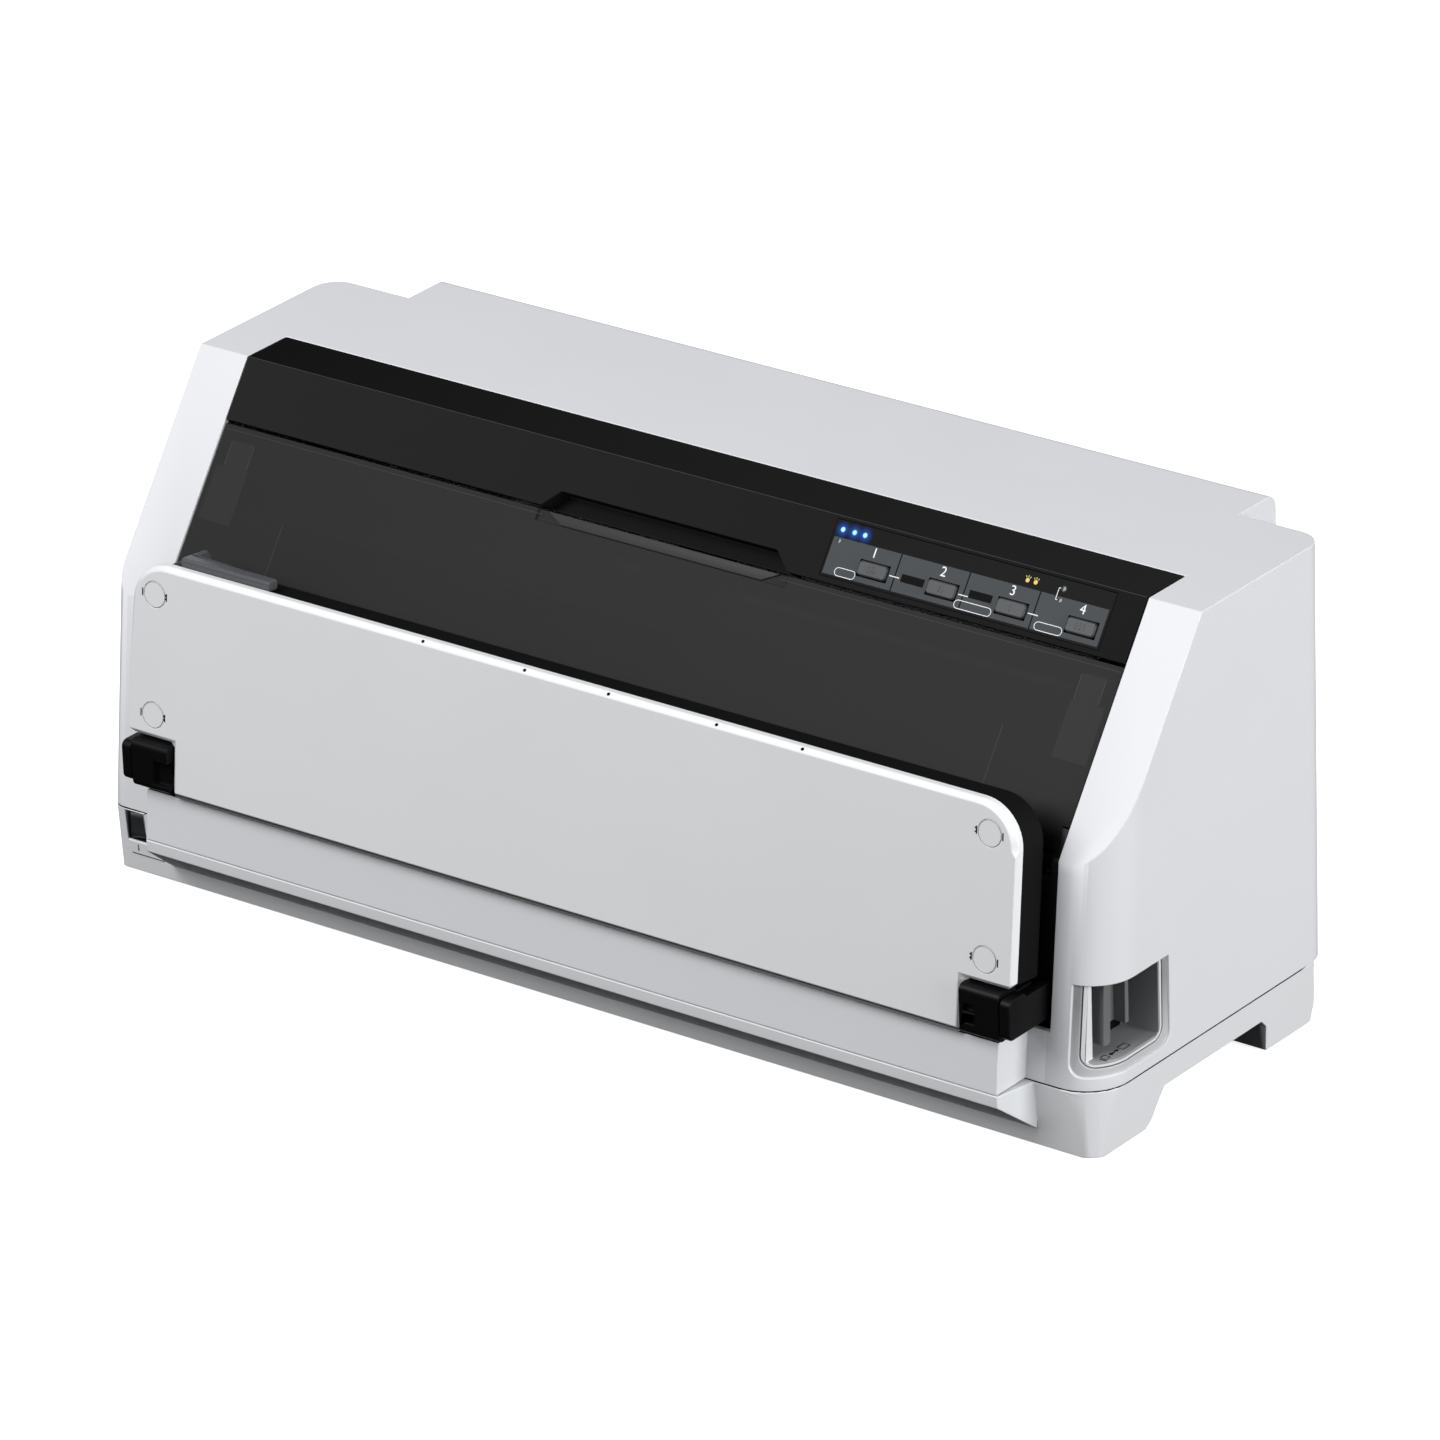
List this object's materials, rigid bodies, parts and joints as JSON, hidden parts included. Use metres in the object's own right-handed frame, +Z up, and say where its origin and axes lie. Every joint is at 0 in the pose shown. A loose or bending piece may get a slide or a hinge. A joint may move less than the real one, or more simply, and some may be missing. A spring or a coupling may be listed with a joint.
{
  "type": "dot matrix printer",
  "caption": "Wide desktop impact printer: pale case, black sloping control panel, smoked cover over the carriage, fold-down front paper tray and rear tractor feed.",
  "frame": {"origin": "middle of the outer box on the surface that the feet stand on", "axes": "+X to the user's right along the print line, +Y from the front tray to the rear feed, +Z up"},
  "size_m": [0.52, 0.28, 0.218],
  "materials": {
    "case_grey": "fine-textured moulded plastic",
    "base_grey": "fine-textured moulded plastic",
    "tray_grey": "fine-textured moulded plastic",
    "panel_black": "satin black plastic",
    "label_slate": "printed film",
    "button_grey": "satin keys",
    "smoke": "smoked translucent plastic",
    "hinge_black": "satin black plastic",
    "guide_grey": "tinted plastic",
    "lever_grey": "satin grey plastic",
    "rubber": "moulded rubber",
    "steel": "zinc-plated sheet steel",
    "shaft_steel": "ground steel",
    "brass": "machined brass",
    "nylon": "natural nylon",
    "frame_black": "black engineering plastic",
    "board_green": "circuit board",
    "knob_orange": "satin plastic",
    "head_alloy": "cast alloy"
  },
  "bodies": {
    "case": {"upper_case": "case_grey", "lower_case": "base_grey", "rubber_feet": "rubber", "case_screws": "steel", "control_panel": "panel_black", "label_plate": "label_slate", "key_board": "board_green", "hinge_brackets": "hinge_black", "window_bezel": "case_grey", "switch_housing": "hinge_black", "front_guide": "panel_black", "chassis_pan": "steel", "side_plates": "steel", "paper_bed": "steel", "platen": "head_alloy", "roller_bushes": "nylon", "motors": "steel", "pinch_carriers": "frame_black", "carriage_shaft": "shaft_steel", "carriage_rail": "steel", "carriage_belt": "rubber", "main_board": "board_green", "power_supply": "steel", "rear_sockets": "frame_black", "rear_frame": "case_grey", "feed_belt": "rubber"},
    "tray": {"tray_shell": "tray_grey", "tray_bed": "panel_black", "tray_caps": "tray_grey", "hinge_knuckles": "hinge_black"},
    "edge_guide": {"edge_guide": "guide_grey"},
    "cover": {"printer_cover": "smoke"},
    "button_1": {"button_1": "button_grey"},
    "button_2": {"button_2": "button_grey"},
    "button_3": {"button_3": "button_grey"},
    "button_4": {"button_4": "button_grey"},
    "power_switch": {"power_switch": "hinge_black"},
    "release_lever": {"release_lever": "lever_grey"},
    "feed_front": {"feed_shaft_front": "shaft_steel", "feed_rubbers_front": "rubber"},
    "feed_rear": {"feed_shaft_rear": "shaft_steel", "feed_rubbers_rear": "rubber"},
    "idler_gear": {"idler_gear": "nylon"},
    "motor_pinion": {"motor_pinion": "brass"},
    "pinch_front": {"pinch_roller_front": "frame_black"},
    "pinch_rear": {"pinch_roller_rear": "frame_black"},
    "carriage": {"carriage": "frame_black", "print_head": "head_alloy", "ribbon_cartridge": "frame_black"},
    "ribbon_knob": {"ribbon_knob": "knob_orange"},
    "drive_pulley": {"drive_pulley": "shaft_steel"},
    "idler_pulley": {"idler_pulley": "nylon"},
    "rear_cover": {"rear_cover": "case_grey"},
    "tractor_shaft": {"tractor_shaft": "shaft_steel"},
    "tractor_left": {"tractor_left": "frame_black"},
    "tractor_right": {"tractor_right": "frame_black"},
    "sprocket_left": {"sprocket_left": "nylon"},
    "sprocket_right": {"sprocket_right": "nylon"},
    "door_left": {"tractor_door_left": "frame_black"},
    "door_right": {"tractor_door_right": "frame_black"}
  },
  "joints": [
    {"name": "tray_fold", "type": "hinge", "parent": "case", "child": "tray", "pos_m": [0, -0.1335, 0.067], "axis": [1, 0, 0], "range_deg": [0, 95.8]},
    {"name": "edge_guide_slide", "type": "slide", "parent": "tray", "child": "edge_guide", "axis": [1, 0, 0], "range_m": [-0.002, 0.127]},
    {"name": "cover_tilt", "type": "hinge", "parent": "case", "child": "cover", "pos_m": [0, -0.10294, 0.12378], "axis": [1, 0, 0], "range_deg": [0, 28]},
    {"name": "button_1_press", "type": "slide", "parent": "case", "child": "button_1", "axis": [0, 0.8113, -0.5847], "range_m": [0, 0.0008], "stiffness_N_per_m": 400, "springref_m": -0.0006},
    {"name": "button_2_press", "type": "slide", "parent": "case", "child": "button_2", "axis": [0, 0.8113, -0.5847], "range_m": [0, 0.0008], "stiffness_N_per_m": 400, "springref_m": -0.0006},
    {"name": "button_3_press", "type": "slide", "parent": "case", "child": "button_3", "axis": [0, 0.8113, -0.5847], "range_m": [0, 0.0008], "stiffness_N_per_m": 400, "springref_m": -0.0006},
    {"name": "button_4_press", "type": "slide", "parent": "case", "child": "button_4", "axis": [0, 0.8113, -0.5847], "range_m": [0, 0.0008], "stiffness_N_per_m": 400, "springref_m": -0.0006},
    {"name": "power_rock", "type": "hinge", "parent": "case", "child": "power_switch", "pos_m": [0, -0.1095, 0.0224], "axis": [1, 0, 0], "range_deg": [0, 8]},
    {"name": "lever_swing", "type": "hinge", "parent": "case", "child": "release_lever", "pos_m": [0, -0.083, 0.104], "axis": [1, 0, 0], "range_deg": [0, 10]},
    {"name": "feed_front_spin", "type": "hinge", "parent": "case", "child": "feed_front", "pos_m": [0, -0.077, 0.075], "axis": [1, 0, 0], "continuous": true},
    {"name": "idler_gear_spin", "type": "hinge", "parent": "case", "child": "idler_gear", "pos_m": [0, -0.033, 0.075], "axis": [1, 0, 0], "continuous": true},
    {"name": "feed_rear_spin", "type": "hinge", "parent": "case", "child": "feed_rear", "pos_m": [0, 0.011, 0.075], "axis": [1, 0, 0], "continuous": true},
    {"name": "motor_pinion_spin", "type": "hinge", "parent": "case", "child": "motor_pinion", "pos_m": [0, -0.0469, 0.04955], "axis": [1, 0, 0], "continuous": true},
    {"name": "pinch_front_spin", "type": "hinge", "parent": "case", "child": "pinch_front", "pos_m": [0, -0.077, 0.0903], "axis": [1, 0, 0], "continuous": true},
    {"name": "pinch_rear_spin", "type": "hinge", "parent": "case", "child": "pinch_rear", "pos_m": [0, 0.011, 0.0903], "axis": [1, 0, 0], "continuous": true},
    {"name": "tractor_shaft_spin", "type": "hinge", "parent": "case", "child": "tractor_shaft", "pos_m": [0, 0.105, 0.08], "axis": [1, 0, 0], "continuous": true},
    {"name": "carriage_slide", "type": "slide", "parent": "case", "child": "carriage", "axis": [1, 0, 0], "range_m": [-0.01, 0.29]},
    {"name": "ribbon_knob_spin", "type": "hinge", "parent": "carriage", "child": "ribbon_knob", "pos_m": [-0.178, -0.07, 0.134], "axis": [0, 0, 1], "continuous": true},
    {"name": "drive_pulley_spin", "type": "hinge", "parent": "case", "child": "drive_pulley", "pos_m": [0.204, 0.011, 0.13], "axis": [0, 0, 1], "range_deg": [-90, 2160]},
    {"name": "idler_pulley_spin", "type": "hinge", "parent": "case", "child": "idler_pulley", "pos_m": [-0.204, 0.011, 0.13], "axis": [0, 0, 1], "range_deg": [-90, 2160]},
    {"name": "rear_cover_lift", "type": "hinge", "parent": "case", "child": "rear_cover", "pos_m": [0, 0.081, 0.165], "axis": [1, 0, 0], "range_deg": [0, 75]},
    {"name": "tractor_left_slide", "type": "slide", "parent": "case", "child": "tractor_left", "axis": [1, 0, 0], "range_m": [-0.035, 0.08]},
    {"name": "tractor_right_slide", "type": "slide", "parent": "case", "child": "tractor_right", "axis": [1, 0, 0], "range_m": [-0.08, 0.035]},
    {"name": "sprocket_left_slide", "type": "slide", "parent": "tractor_shaft", "child": "sprocket_left", "axis": [1, 0, 0], "range_m": [-0.035, 0.08]},
    {"name": "sprocket_right_slide", "type": "slide", "parent": "tractor_shaft", "child": "sprocket_right", "axis": [1, 0, 0], "range_m": [-0.08, 0.035]},
    {"name": "door_left_lift", "type": "hinge", "parent": "tractor_left", "child": "door_left", "pos_m": [-0.1195, 0.104, 0.0995], "axis": [0, -1, 0], "range_deg": [0, 100]},
    {"name": "door_right_lift", "type": "hinge", "parent": "tractor_right", "child": "door_right", "pos_m": [0.1195, 0.104, 0.0995], "axis": [0, 1, 0], "range_deg": [0, 100]}
  ],
  "couplings": [
    {"joint": "idler_gear_spin", "follows": "feed_front_spin", "ratio": -1},
    {"joint": "feed_rear_spin", "follows": "feed_front_spin", "ratio": 1},
    {"joint": "motor_pinion_spin", "follows": "feed_front_spin", "ratio": 3.1429},
    {"joint": "pinch_front_spin", "follows": "feed_front_spin", "ratio": -1.5},
    {"joint": "pinch_rear_spin", "follows": "feed_front_spin", "ratio": -1.5},
    {"joint": "tractor_shaft_spin", "follows": "feed_front_spin", "ratio": 1},
    {"joint": "drive_pulley_spin", "follows": "carriage_slide", "rad_per_m": 126.58},
    {"joint": "idler_pulley_spin", "follows": "carriage_slide", "rad_per_m": 126.58},
    {"joint": "sprocket_left_slide", "follows": "tractor_left_slide", "ratio": 1},
    {"joint": "sprocket_right_slide", "follows": "tractor_right_slide", "ratio": 1}
  ]
}
